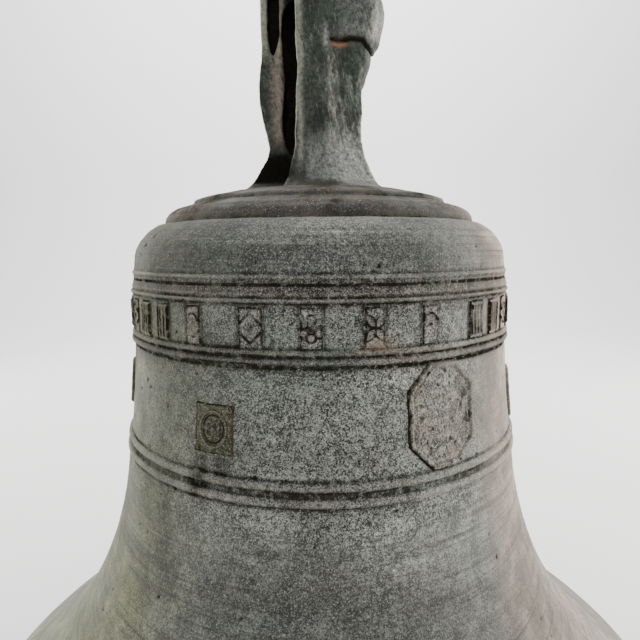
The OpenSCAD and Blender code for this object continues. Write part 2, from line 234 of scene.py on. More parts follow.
class Shader:
    """Short calls that build one material's nodes, with its colour and relief built up in turn."""

    def __init__(self, name):
        self.material = bpy.data.materials.new(name)
        self.material.use_nodes = True
        self.tree = self.material.node_tree
        self.tree.nodes.clear()
        out = self.add("ShaderNodeOutputMaterial")
        self.bsdf = self.add("ShaderNodeBsdfPrincipled")
        self.tree.links.new(self.bsdf.outputs[0], out.inputs["Surface"])
        self.place = self.add("ShaderNodeTexCoord").outputs["Object"]
        self.colour = None
        self.normal = None

    def add(self, kind, **settings):
        node = self.tree.nodes.new(kind)
        for key, value in settings.items():
            setattr(node, key, value)
        return node

    def put(self, socket, value):
        """Links a socket, or sets a constant on it."""
        if isinstance(value, bpy.types.NodeSocket):
            self.tree.links.new(value, socket)
        elif isinstance(value, tuple) and len(value) == 3 and socket.type == "RGBA":
            socket.default_value = (*value, 1)
        else:
            socket.default_value = value

    def fill(self, node, values):
        for key, value in values.items():
            self.put(node.inputs[key], value)

    def mapped(self, place, **values):
        node = self.add("ShaderNodeMapping")
        self.fill(node, {"Vector": place, **values})
        return node.outputs[0]

    def scaled(self, scale, tip=0.0):
        """The object's own coordinates, tipped about Y and then stretched along each axis."""
        tipped = self.mapped(self.place, Rotation=(0, math.radians(tip), 0))
        return self.mapped(tipped, Scale=scale)

    def noise(self, scale, detail=3, rough=0.55, place=None, shift=0.0):
        moved = self.mapped(place or self.place, Location=(shift, shift * 0.7, -shift))
        node = self.add("ShaderNodeTexNoise")
        self.fill(node, {"Vector": moved, "Scale": scale, "Detail": detail, "Roughness": rough})
        return node.outputs[0]

    def cells(self, scale, shift):
        moved = self.mapped(self.place, Location=(shift, -shift, shift))
        node = self.add("ShaderNodeTexVoronoi")
        self.fill(node, {"Vector": moved, "Scale": scale})
        return node.outputs["Distance"]

    def mark(self, key):
        """A mesh attribute, as the marks functions name them."""
        return self.add("ShaderNodeAttribute", attribute_name=key).outputs["Fac"]

    def math(self, operation, a, b, clamp=False):
        node = self.add("ShaderNodeMath", operation=operation, use_clamp=clamp)
        self.put(node.inputs[0], a)
        self.put(node.inputs[1], b)
        return node.outputs[0]

    def times(self, a, b, clamp=False):
        return self.math("MULTIPLY", a, b, clamp)

    def plus(self, a, b, clamp=False):
        return self.math("ADD", a, b, clamp)

    def higher(self, a, b):
        return self.math("MAXIMUM", a, b)

    def rest(self, share, clamp=False):
        """What a share leaves of one."""
        return self.math("SUBTRACT", 1.0, share, clamp)

    def ramp(self, value, low, high, from_value=0.0, to_value=1.0):
        """Goes from from_value at low to to_value at high, held outside."""
        node = self.add("ShaderNodeMapRange", interpolation_type="SMOOTHSTEP")
        self.fill(node, {"Value": value, "From Min": low, "From Max": high,
                         "To Min": from_value, "To Max": to_value})
        return node.outputs[0]

    def swing(self, value, strength):
        """Noise moved to swing about zero."""
        return self.times(self.math("SUBTRACT", value, 0.5), strength)

    def mix(self, share, a, b, blend="MIX"):
        node = self.add("ShaderNodeMix", data_type="RGBA", blend_type=blend)
        for socket, value in ((0, share), (6, a), (7, b)):
            self.put(node.inputs[socket], value)
        return node.outputs[2]

    def lay(self, share, colour, blend="MIX"):
        """Lays a colour over the colour so far, as strongly as share says."""
        self.colour = self.mix(share, self.colour, colour, blend)

    def bump(self, height, strength, distance):
        """Adds to the relief so far. The distance is in millimetres."""
        node = self.add("ShaderNodeBump")
        self.fill(node, {"Strength": strength, "Distance": distance * MM, "Height": height})
        if self.normal:
            self.put(node.inputs["Normal"], self.normal)
        self.normal = node.outputs[0]

    def dull(self, dirt_and_shade, roughness):
        """Takes the shine off where dirt and painted shade lie. Returns the roughness."""
        clean = self.rest(dirt_and_shade, clamp=True)
        self.put(self.bsdf.inputs["Specular IOR Level"], self.times(clean, 0.5))
        return self.higher(dirt_and_shade, roughness)

    def finish(self, roughness, metallic=0.0):
        self.fill(self.bsdf, {"Base Color": self.colour, "Roughness": roughness,
                              "Metallic": metallic})
        if self.normal:
            self.put(self.bsdf.inputs["Normal"], self.normal)
        return self.material


def bronze_patina():
    """Weathered bell bronze: grey-green, salt-and-pepper grain, dirt and painted shade in hollows,
    painted light and shade over the wall, dust on ledges.
    """
    s = Shader("bronze_patina")
    grain = s.mark("grain")
    clouds = s.noise(24, 5, 0.6)
    s.colour = s.mix(s.ramp(clouds, 0.34, 0.66), (0.125, 0.128, 0.108), (0.180, 0.188, 0.166))
    s.lay(s.mark("olive"), (0.165, 0.165, 0.086))
    s.lay(s.mark("beige"), (0.300, 0.240, 0.190))
    s.lay(s.times(s.mark("brown"), 0.6), (0.125, 0.085, 0.062))
    # painted light and shade, times tone that differs at random, darkens or lightens the colour
    s.lay(1.0, s.mark("painted_light_and_tone"), "MULTIPLY")
    # level marks left by the turned mould
    streaks = s.noise(1.0, 4, 0.7, place=s.scaled((9, 9, 520)))
    bands = s.noise(1.0, 3, 0.6, place=s.scaled((6, 6, 150)), shift=4.4)
    for field, low, high, share, shade in (
            (streaks, 0.5, 0.64, 0.6, (0.050, 0.046, 0.036)),
            (bands, 0.52, 0.66, 0.7, (0.060, 0.056, 0.045)),
            (streaks, 0.42, 0.32, 0.3, (0.28, 0.28, 0.25))):
        s.lay(s.times(s.times(s.ramp(field, low, high), s.mark("swept")), share), shade)
    # grain, from the finest crystals to patches a few centimetres across
    salt = s.noise(1500, 1, 0.5, shift=1.7)
    pepper = s.noise(720, 2, 0.6, shift=5.3)
    blotch = s.noise(250, 3, 0.6, shift=8.2)
    patches = s.noise(70, 4, 0.6, shift=3.3)
    fine = s.plus(s.swing(salt, 6.4), s.swing(pepper, 5.2))
    fine = s.plus(fine, s.swing(blotch, 3.6))
    gain = s.plus(s.times(fine, grain), s.swing(patches, 2.5))
    gain = s.higher(s.plus(gain, 1.0), s.rest(s.times(grain, 0.8)))
    s.lay(1.0, s.math("MINIMUM", gain, 2.8), "MULTIPLY")
    specks = s.times(s.ramp(s.noise(1050, 1, 0.5, shift=9.1), 0.62, 0.72), grain)
    s.lay(s.times(specks, 0.8), (0.50, 0.50, 0.46))
    # worn edges with painted highlights, dirt with painted shade, dust and stains
    broken = s.ramp(s.noise(260, 4, 0.7, shift=2.4), 0.30, 0.56, 0.35, 1.2)
    dirt_and_shade = s.times(s.mark("dirt_and_shade"), broken, clamp=True)
    wear_and_highlight = s.times(s.mark("wear_and_highlight"), s.ramp(salt, 0.3, 0.6, 0.3, 1), clamp=True)
    s.lay(s.times(wear_and_highlight, 0.6), (0.33, 0.30, 0.25))
    s.lay(dirt_and_shade, (0.017, 0.016, 0.010))
    dust = s.times(s.mark("dust"), s.ramp(blotch, 0.35, 0.6, 0.6, 1), clamp=True)
    s.lay(dust, s.mix(s.ramp(patches, 0.4, 0.6), (0.016, 0.014, 0.010), (0.060, 0.043, 0.031)))
    stain = s.times(s.mark("stain"), s.ramp(pepper, 0.35, 0.6, 0.3, 1), clamp=True)
    s.lay(stain, (0.24, 0.15, 0.085))
    green = s.times(s.mark("green"), s.ramp(blotch, 0.42, 0.62), clamp=True)
    s.lay(green, (0.075, 0.125, 0.085))
    s.bump(salt, 0.5, 0.35)
    s.bump(pepper, 0.6, 0.5)
    s.bump(blotch, 0.5, 0.8)
    roughness = s.dull(s.higher(dirt_and_shade, dust), s.ramp(clouds, 0.3, 0.7, 0.6, 0.82))
    return s.finish(roughness, s.times(s.rest(dirt_and_shade), 0.2))


def crown_patina():
    """Darker bronze of the crown, streaked down its arms and green in its hollows, with painted
    highlights on faces turned left and painted shade in its slits.
    """
    s = Shader("crown_patina")
    clouds = s.noise(38, 5, 0.6)
    s.colour = s.mix(s.ramp(clouds, 0.35, 0.68), (0.012, 0.015, 0.010), (0.036, 0.042, 0.031))
    down = s.noise(1.0, 4, 0.7, place=s.scaled((560, 560, 90), 14))
    patches = s.noise(1.0, 5, 0.7, place=s.scaled((90, 90, 50)), shift=7.7)
    green = s.ramp(s.noise(70, 4, 0.65, shift=4.0), 0.45, 0.62)
    s.lay(s.times(green, s.mark("green")), (0.040, 0.070, 0.045))
    s.lay(s.times(s.ramp(patches, 0.46, 0.62), s.mark("mottle")), (0.150, 0.158, 0.135))
    salt = s.noise(1300, 2, 0.6, shift=1.1)
    pepper = s.noise(420, 4, 0.65, shift=6.3)
    pale = s.mix(s.ramp(clouds, 0.3, 0.7), (0.19, 0.195, 0.175), (0.31, 0.32, 0.295))
    s.lay(s.mark("pale"), pale)
    # painted highlight on the faces turned to the left
    s.lay(s.mark("painted_highlight"), (0.33, 0.335, 0.255))
    s.lay(s.mark("rose"), (0.33, 0.27, 0.215))
    s.lay(s.ramp(down, 0.57, 0.70, 0, 0.6), (0.25, 0.26, 0.225))
    s.lay(s.ramp(down, 0.44, 0.32, 0, 0.75), (0.012, 0.012, 0.009))
    gain = s.plus(s.swing(salt, 1.6), s.swing(pepper, 3.4))
    smooth = s.plus(s.mark("painted_highlight"), s.mark("rose"), clamp=True)
    gain = s.times(gain, s.rest(s.times(smooth, 0.6)))
    s.lay(1.0, s.higher(s.plus(gain, 1.0), 0.15), "MULTIPLY")
    s.lay(s.mark("copper"), (0.36, 0.17, 0.10))
    broken = s.ramp(s.noise(240, 4, 0.7, shift=2.4), 0.28, 0.6, 0.85, 1.1)
    dirt_and_shade = s.times(s.mark("dirt_and_shade"), broken, clamp=True)
    # painted shade in the slits, under the ledge and at the left foot, with dirt in the hollows
    s.lay(dirt_and_shade, (0.013, 0.012, 0.009))
    s.lay(s.mark("dust"), (0.050, 0.042, 0.030))
    s.bump(down, 0.5, 0.6)
    s.bump(pepper, 0.6, 0.8)
    s.bump(s.cells(160, 0.4), 0.25, 0.6)
    roughness = s.dull(dirt_and_shade, s.ramp(clouds, 0.3, 0.7, 0.38, 0.62))
    return s.finish(roughness, s.times(s.rest(dirt_and_shade), 0.3))


def rusty_iron(name, dark, rust, shine):
    """Forged iron: dark scale, rust in patches, bright on worn edges where the mesh's wear attribute
    says so.
    """
    s = Shader(name)
    scale = s.noise(55, 5, 0.65)
    spots = s.noise(230, 4, 0.7, shift=2.0)
    s.colour = s.mix(s.ramp(scale, 0.42, 0.62), dark, rust)
    s.lay(s.ramp(spots, 0.52, 0.7, 0, 0.7), (0.16, 0.075, 0.03))
    s.lay(s.ramp(spots, 0.44, 0.3, 0, 0.7), (0.02, 0.018, 0.016))
    wear_and_highlight = s.mark("wear_and_highlight")
    s.lay(wear_and_highlight, shine)
    rough = s.math("SUBTRACT", s.ramp(spots, 0.3, 0.7, 0.5, 0.85), s.times(wear_and_highlight, 0.25))
    s.bump(spots, 0.5, 0.5)
    s.bump(s.cells(120, 1.0), 0.3, 0.6)
    return s.finish(rough, s.plus(s.times(wear_and_highlight, 0.5), 0.4))


def oiled_leather():
    s = Shader("oiled_leather")
    clouds = s.noise(40, 5, 0.6)
    s.colour = s.mix(s.ramp(clouds, 0.3, 0.7), (0.10, 0.042, 0.018), (0.23, 0.115, 0.052))
    creases = s.noise(1.0, 4, 0.6, place=s.scaled((420, 60, 420)))
    s.lay(s.ramp(creases, 0.5, 0.66, 0, 0.6), (0.05, 0.022, 0.012))
    s.lay(s.mark("wear_and_highlight"), (0.34, 0.2, 0.11))
    s.bump(s.cells(900, 0.2), 0.35, 0.3)
    s.bump(creases, 0.5, 0.5)
    return s.finish(s.ramp(clouds, 0.3, 0.7, 0.45, 0.68))


def old_oak():
    s = Shader("old_oak")
    grain = s.noise(1.0, 5, 0.65, place=s.scaled((900, 220, 22)))
    rings = s.noise(1.0, 2, 0.5, place=s.scaled((320, 60, 6)), shift=2.2)
    s.colour = s.mix(s.ramp(rings, 0.35, 0.65), (0.13, 0.072, 0.034), (0.27, 0.165, 0.085))
    s.lay(s.ramp(grain, 0.5, 0.62, 0, 0.75), (0.05, 0.028, 0.015))
    s.bump(grain, 0.6, 0.4)
    return s.finish(s.ramp(grain, 0.3, 0.7, 0.6, 0.8))


def bearing_bronze():
    s = Shader("bearing_bronze")
    tarnish = s.noise(90, 4, 0.6)
    s.colour = s.mix(s.ramp(tarnish, 0.4, 0.65), (0.42, 0.27, 0.11), (0.20, 0.13, 0.06))
    s.bump(s.noise(1.0, 4, 0.6, place=s.scaled((300, 2200, 300))), 0.25, 0.2)
    return s.finish(s.ramp(tarnish, 0.3, 0.7, 0.28, 0.5), 0.9)


def waxed_thread():
    s = Shader("waxed_thread")
    twist = s.noise(1400, 2)
    s.colour = s.mix(s.ramp(twist, 0.4, 0.6), (0.22, 0.17, 0.11), (0.42, 0.35, 0.25))
    s.bump(twist, 0.4, 0.2)
    return s.finish(0.6)


def plain_stage(name, shade):
    s = Shader(name)
    s.colour = s.mix(s.noise(3, 3), shade, tuple(min(1.0, c * 1.03) for c in shade))
    return s.finish(0.9)


# ---- the wall's line, from the frame


def read_wall():
    """Samples the CAD wall with rays in the plane azimuth 90: its outside, inside and lip."""
    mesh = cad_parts["bell_shell"].data
    tree = BVHTree.FromPolygons([v.co for v in mesh.vertices], [p.vertices for p in mesh.polygons])
    off = 0.013 * MM

    def hits(starts, way):
        """Radius and height where the rays from each (radius, height) meet the wall."""
        found = [tree.ray_cast(Vector((x, off, z)), Vector(way))[0] for x, z in starts]
        return [(h[0], h[2]) for h in found if h]

    heights = np.concatenate([
        np.arange(1.5, 60, 1.4), np.arange(60, 214, 1.7), np.arange(214, 234, 0.55),
        np.arange(234, 290, 1.3), np.arange(290, 348, 0.6),
        np.arange(348, (BODY_TOP - 25.5 * MM) / MM, 1.2)]) * MM
    outer = hits([(0.4, z) for z in heights], (-1, 0, 0))
    radii = np.arange(outer[-1][0] / MM - 0.5, 1.5, -0.95) * MM
    outer += hits([(x, BODY_TOP + 0.05) for x in radii], (0, 0, -1))
    inner = hits([(0.0, z) for z in np.arange(3, 352, 4.5) * MM], (1, 0, 0))
    roof = np.arange(inner[-1][0] / MM - 3, 1.5, -4) * MM
    inner += hits([(x, 0.3) for x in roof], (0, 0, 1))
    lip = [(inner[0][0] + (outer[0][0] - inner[0][0]) * t, 0.0) for t in (0.32, 0.5, 0.75)]
    return np.array(outer), np.array(inner), np.array(lip)


OUTER, INNER, LIP = read_wall()
STEEP = OUTER[:, 1] < OUTER[:, 1].max() - 24 * MM
WALL_Z, WALL_R = OUTER[STEEP, 1], OUTER[STEEP, 0]
# heights where the crown plate's steps, the shoulder and the calmer grain of the flank begin
PLATE_Z = BODY_TOP - 23.6 * MM
SHOULDER_Z = 0.342
FLANK_Z = 0.212
# the wall's usual radius, for patterns that only have to run round the bell
MEAN_R = 0.14


def wall_radius(z):
    return np.interp(z, WALL_Z, WALL_R)


def around(azimuth, radius, z):
    a = np.radians(azimuth)
    return np.stack([radius * np.sin(a), -radius * np.cos(a), z], 1)


def azimuth_of(p):
    return np.degrees(np.arctan2(p[:, 0], -p[:, 1]))


def extent(node):
    """Lowest and highest azimuth and height of a CAD node that doesn't cross the bell's back."""
    p = coordinates(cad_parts[node].data)
    azimuth = azimuth_of(p)
    return azimuth.min(), azimuth.max(), p[:, 2].min(), p[:, 2].max()


def tile_spans():
    """The (lowest, highest) azimuths of each frieze tile, read off the CAD node."""
    azimuth = np.sort(azimuth_of(coordinates(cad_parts["frieze_tiles"].data)) % 360)
    gaps = np.where(np.diff(azimuth) > 0.9)[0]
    starts = np.concatenate([[0], gaps + 1])
    ends = np.concatenate([gaps, [len(azimuth) - 1]])
    spans = [[azimuth[a], azimuth[b]] for a, b in zip(starts, ends)]
    if spans[0][0] < 0.5 and spans[-1][1] > 359.5:
        spans[0][0] = spans.pop()[0] - 360
    return [(a, b) for a, b in spans if b - a > 4]


TILES = tile_spans()
TILE_LOW, TILE_HIGH = extent("frieze_tiles")[2:]
STAMP = extent("stamp_plaque")


# ---- the cast skin

rng = np.random.default_rng(11)
PITS = np.stack([
    rng.uniform(-180, 180, 420),
    rng.uniform(0.03, 0.375, 420),
    rng.uniform(0.7, 1.9, 420) * MM,
    rng.uniform(0.3, 0.9, 420) * MM], 1)
# a few larger casting pits below the shoulder, right of the middle
PITS = np.concatenate([PITS, [[10, 0.3505, 1.6 * MM, 0.9 * MM], [13.5, 0.3495, 1.7 * MM, 1.0 * MM],
                              [12, 0.3472, 1.4 * MM, 0.8 * MM], [15.5, 0.3508, 1.3 * MM, 0.7 * MM]]])


def grain_share(azimuth, z):
    """How coarse the cast grain is: strongest on the front of the waist."""
    front = hump(azimuth, 3, 44) * step(50, 36, azimuth)
    flank = step(FLANK_Z, FLANK_Z - 22 * MM, z)
    calm = 0.32 * step(SHOULDER_Z, SHOULDER_Z + 10 * MM, z)
    calm = calm + (0.32 + 0.18 * step(6, 34, azimuth)) * flank
    return 0.20 + front * (0.92 - calm)


def swept_share(z):
    """Where level marks of the turned mould show."""
    return (0.25 + 0.80 * hump(z, 0.362, 0.022) + 0.7 * hump(z, 0.337, 0.010)
            + 0.6 * hump(z, 0.16, 0.05) + 0.5 * hump(z, 0.07, 0.05))


def on_plate(z):
    return step(PLATE_Z - MM, PLATE_Z + MM, z)


def painted_light_and_tone(azimuth, z):
    """Painted light and shade on the patina: paler right of the middle where the light falls, darker
    at the shoulder's left, on the plate and round the back.
    """
    shoulder = step(SHOULDER_Z, SHOULDER_Z + 8 * MM, z)
    low = step(0.155, 0.190, z)
    left = step(-150, -110, azimuth)
    paler = (0.78 * hump(azimuth, 27, 17) * step(0.318, 0.295, z) * (0.35 + 0.65 * low)
             + 0.36 * step(48, 70, azimuth) * step(118, 74, azimuth) * low)
    darker = (shoulder * (0.10 * step(60, 40, azimuth) + 0.38 * step(5, -22, azimuth) * left
                          + 0.18 * hump(azimuth, 24, 14))
              + (0.20 + 0.35 * hump(azimuth, -5, 30)) * on_plate(z)
              + 0.33 * hump(azimuth, 2, 28) * step(0.200, 0.162, z)
              + 0.32 * hump(azimuth, -41, 9) * hump(z, 0.29, 0.10)
              + 0.34 * hump(azimuth, -40, 6) * hump(z, 0.180, 0.022)
              + 0.18 * step(0.175, 0.135, z) * step(-20, 0, azimuth) * step(80, 60, azimuth)
              + 0.08 * step(-46, -60, azimuth) * left * low)
    behind = 0.35 * step(95, 140, np.abs(wrap(azimuth)))
    return np.clip(0.90 + paler - darker - behind, 0.3, 2.2)


def skin(p, azimuth, z):
    """Height of the cast skin above the designed wall, in metres."""
    height = 0.42 * MM * fbm(p, 48, 1, 3)
    height += 0.20 * MM * fbm(p, 9, 5, 2)
    height += 0.20 * MM * grain_share(azimuth, z) * fbm(p, 2.6, 9, 2)
    level = p * np.array([0.045, 0.045, 1.0])
    height += 0.17 * MM * swept_share(z) * fbm(level, 2.1, 13, 2)
    return height


def pitted(azimuth, z):
    """How deep the casting pits are at each point."""
    depth = np.zeros(len(z))
    radius = wall_radius(z)
    for at, height, size, deep in PITS:
        near = np.where((np.abs(z - height) < 3 * size)
                        & (np.abs(wrap(azimuth - at)) < np.degrees(3 * size / MEAN_R)))[0]
        across = np.radians(wrap(azimuth[near] - at)) * radius[near]
        d = np.hypot(across, z[near] - height) / size
        depth[near] += deep * np.exp(-d * d * 1.4)
    return depth


def wander(azimuth):
    """How far the ridges stray up or down round the bell."""
    p = around(azimuth, MEAN_R, 0 * azimuth)
    return 0.45 * MM * fbm(p, 42, 31, 2)


# ---- bell body


def columns():
    """Azimuths of the body's columns: close on the front, wider behind."""
    front = np.arange(-72, 72, 0.42)
    back = np.arange(72, 288, 0.9)
    return wrap(np.concatenate([front, back]))


def profile_hollows(line):
    """Depth of the grooves in the wall's line, negative on its ridges, and the way outwards."""
    length = np.concatenate([[0], np.cumsum(np.hypot(*np.diff(line, axis=0).T))])
    tangent = np.gradient(line, length, axis=0)
    out = np.stack([tangent[:, 1], -tangent[:, 0]], 1)
    out /= np.linalg.norm(out, axis=1)[:, None] + 1e-12
    mean = np.zeros_like(line)
    reach = 3.2 * MM
    for shift in np.linspace(-reach, reach, 9):
        for axis in range(2):
            mean[:, axis] += np.interp(length + shift, length, line[:, axis]) / 9
    return np.einsum("ij,ij->i", mean - line, out), out


def body_marks(azimuth, z, hollow, facing_down, top):
    """Shares of dirt with painted shade, wear with painted highlights, dust and brown on the body.
    """
    p = around(azimuth, MEAN_R, z)
    patchy = 0.75 + 0.45 * fbm(p, 30, 41, 2)
    faded = 1 - 0.6 * step(-4, 30, azimuth) * step(0.225, 0.215, z)
    # painted shade in the grooves and under the ridges, with dirt, weaker low on the waist right of
    # the middle where the light falls
    dirt_and_shade = (step(0.02 * MM, 0.40 * MM, hollow) * 0.85 + 0.75 * facing_down) * patchy * faded
    band = step(TILE_LOW - MM, TILE_LOW, z) * step(TILE_HIGH + MM, TILE_HIGH, z)
    # painted shade along the tiles' edges
    for low, high in TILES:
        past = np.abs(wrap(azimuth - (low + high) / 2)) - (high - low) / 2
        dirt_and_shade += 0.9 * hump(past, 0.35, 0.4) * band * patchy
    # painted shade in bands below and above the frieze
    below_frieze = 0.4 * hump(z, TILE_LOW - 5 * MM, 6 * MM)
    above_frieze = 0.22 * hump(z, TILE_HIGH + 6 * MM, 7 * MM)
    dirt_and_shade += (below_frieze + above_frieze) * (0.6 + 0.5 * fbm(p, 18, 43, 2))
    # wear and painted highlight on the ridges' crests
    wear_and_highlight = step(0.05 * MM, 0.45 * MM, -hollow) * (0.55 + 0.5 * fbm(p, 22, 45, 2))
    dust = top * (0.75 + 0.4 * fbm(p, 25, 47, 2))
    ridges = np.maximum(hump(z, TILE_HIGH + 8 * MM, 6 * MM), hump(z, TILE_LOW - 6 * MM, 6 * MM))
    brown = ridges * step(-0.6, 0.3, fbm(p, 24, 49, 3))
    # painted shadow lines under three ridges round the frieze
    for height in (TILE_HIGH + 12 * MM, TILE_LOW - 4.3 * MM, TILE_LOW - 10.6 * MM):
        dirt_and_shade += 0.75 * hump(z, height, 1.5 * MM) * patchy
    return held(dirt_and_shade), held(wear_and_highlight), held(dust), brown


def runs(azimuth, z):
    """Runs of dirt from the stamp down."""
    middle = (STAMP[0] + STAMP[1]) / 2
    start = STAMP[2] + 2 * MM
    run = 0 * z
    for shift, width, reach in ((-4.6, 1.6, 26), (0.8, 0.9, 10), (2.8, 1.6, 12), (-2.6, 1.3, 20)):
        end = start - reach * MM
        run += (hump(wrap(azimuth - middle - shift), 0, width)
                * step(start, start - 5 * MM, z) * step(end - 6 * MM, end, z))
    return run


def rusty_stain(azimuth, z):
    """A stain below the fourth tile of the front."""
    return 0.75 * hump(azimuth, 13.5, 3.6) * hump(z, TILE_LOW + 1.5 * MM, 3.2 * MM)


def side_tints(p, azimuth):
    """Shares of the olive tint on the left and the beige one on the right."""
    uneven = 0.8 + 0.5 * fbm(p, 40, 51, 3)
    left = step(-16, -58, azimuth) * step(-118, -72, azimuth)
    right = step(36, 56, azimuth) * step(118, 72, azimuth)
    return {"olive": held(left * uneven), "beige": held(0.9 * right * uneven)}


def body_attributes(p, azimuth, z, hollow, down, top):
    dirt_and_shade, wear_and_highlight, dust, brown = body_marks(azimuth, z, hollow, down, top)
    pits = step(0.15 * MM, 0.7 * MM, pitted(azimuth, z))
    dirt_and_shade = held(dirt_and_shade + 0.5 * runs(azimuth, z) + pits)
    uneven = 1 + 0.25 * fbm(p, 26, 73, 3) + 0.22 * fbm(p, 64, 75, 2)
    return {
        "dirt_and_shade": dirt_and_shade, "wear_and_highlight": wear_and_highlight * (1 - dirt_and_shade), "dust": dust, "stain": rusty_stain(azimuth, z),
        "brown": brown, "grain": grain_share(azimuth, z), "swept": held(swept_share(z)),
        "green": 0.25 * step(0.3, 0.8, fbm(p, 60, 71, 2) + 0.4),
        "painted_light_and_tone": painted_light_and_tone(azimuth, z) * uneven, **side_tints(p, azimuth),
    }


def ring_faces(rows, cols):
    """Faces of rows of points round an axis, closed by a fan to one more point at each end."""
    index = np.arange(rows * cols).reshape(rows, cols)
    after = np.roll(index, -1, axis=1)
    faces = np.stack([index[:-1], index[1:], after[1:], after[:-1]], -1).reshape(-1, 4).tolist()
    first, last = rows * cols, rows * cols + 1
    faces += [[first, a, b] for a, b in zip(index[0].tolist(), after[0].tolist())]
    faces += [[last, b, a] for a, b in zip(index[-1].tolist(), after[-1].tolist())]
    return faces


def bell_body():
    """Inner wall, lip, outer wall and crown plate as one closed surface."""
    line = np.concatenate([INNER[::-1], LIP, OUTER])
    first_outer = len(INNER) + len(LIP)
    hollow, out = profile_hollows(line)
    azimuth = columns()
    rows, cols = len(line), len(azimuth)
    az = np.tile(azimuth, rows)
    r, z = np.repeat(line[:, 0], cols), np.repeat(line[:, 1], cols)
    row = np.repeat(np.arange(rows), cols)
    outside = row >= first_outer
    steep = outside & (row < first_outer + int(STEEP.sum()))
    p = around(az, r, z)
    rise = skin(p, az, z) - np.where(steep, pitted(az, z), 0)
    # the skin only sinks at the lip, so the piece stays in its box
    clear = step(2 * MM, 12 * MM, z)
    rise = np.where(clear < 1, rise * clear - 0.25 * MM * (1 - clear) * outside, rise)
    p = p + around(az, out[row, 0], out[row, 1]) * rise[:, None]
    p[:, 2] += wander(az) * step(0.205, 0.215, z) * step(0.352, 0.345, z) * outside
    p[:, 2] = np.clip(p[:, 2], 0, BODY_TOP + 0.4 * MM)
    p = np.concatenate([p, [[0, 0, line[0, 1]], [0, 0, line[-1, 1]]]])
    # faces turned down, above 0.2 m, get painted shade
    down = step(0.05, 0.6, -out[row, 1]) * outside * (z > 0.2)
    level = step(0.25, 0.8, out[row, 1])
    top = (0.55 * on_plate(z) + 0.45 * level * step(0.368, 0.38, z)) * outside
    marks = body_attributes(p[:-2], az, z, np.where(outside, hollow[row], 0), down, top)
    marks = {k: np.concatenate([v, [0, 0]]) for k, v in marks.items()}
    inside = np.concatenate([~outside, [True, False]])
    # painted shade inside the bell, with dirt
    marks["dirt_and_shade"][inside] = held(0.35 + 0.3 * fbm(p[inside], 50, 77, 3))
    marks["grain"][inside] = 0.3
    return mesh_object("bell_body", p, ring_faces(rows, cols), marks)


# ---- reliefs on the wall


def stroke(distance, width, soft=0.45):
    return 1 - step(width / 2 - soft / 2, width / 2 + soft / 2, np.abs(distance))


def segment(u, v, a, b):
    a, b = np.array(a), np.array(b)
    d = b - a
    t = np.clip(((u - a[0]) * d[0] + (v - a[1]) * d[1]) / (d @ d), 0, 1)
    return np.hypot(u - a[0] - t * d[0], v - a[1] - t * d[1])


def slab(u, v, half_w, half_h):
    """Distance outside a rectangle, negative inside."""
    return np.maximum(np.abs(u) - half_w, np.abs(v) - half_h)


def petals(u, v, count, radius, size, turn=0.0):
    """Distance outside a ring of round petals, negative inside."""
    d = np.full(len(u), 99.0)
    for k in range(count):
        a = turn + 2 * math.pi * k / count
        d = np.minimum(d, np.hypot(u - radius * math.cos(a), v - radius * math.sin(a)) - size)
    return d


def quatrefoil(u, v):
    lines = stroke(petals(u, v, 4, 3.5, 3.3), 1.5)
    return np.maximum(lines, stroke(np.hypot(u, v), 2.6))


def lozenge(u, v):
    lines = stroke((np.abs(u) + np.abs(v) - 8.6) / 1.414, 1.6)
    return np.maximum(lines, stroke(np.hypot(u, v), 4.2, 0.9))


def rosette(u, v):
    lines = stroke(petals(u, v, 6, 5.0, 2.5, math.pi / 6), 1.3)
    return np.maximum(lines, stroke(np.hypot(u, v), 4.0, 0.9))


def saltire(u, v):
    """Four leaves laid crosswise on the diagonals."""
    across = np.minimum(segment(u, v, (-6, -8), (6, 8)), segment(u, v, (-6, 8), (6, -8)))
    leaves = across - 2.3 * np.sin(math.pi * held(np.hypot(u, v) / 9.6))
    return np.maximum(stroke(leaves, 1.2), stroke(np.hypot(u, v), 2.4, 0.9))


def fluting(u, v):
    lines = np.zeros(len(u))
    for x in (-5.1, -1.7, 1.7, 5.1):
        lines = np.maximum(lines, step(0.4, -0.4, slab(u - x, v, 0.8, 9.2)))
    return lines


MOTIFS = (quatrefoil, lozenge, rosette, saltire)
# how far each of the five front tiles has worn away
FRONT_WEAR = (0.32, 0.0, -0.05, 0.05, 0.42)


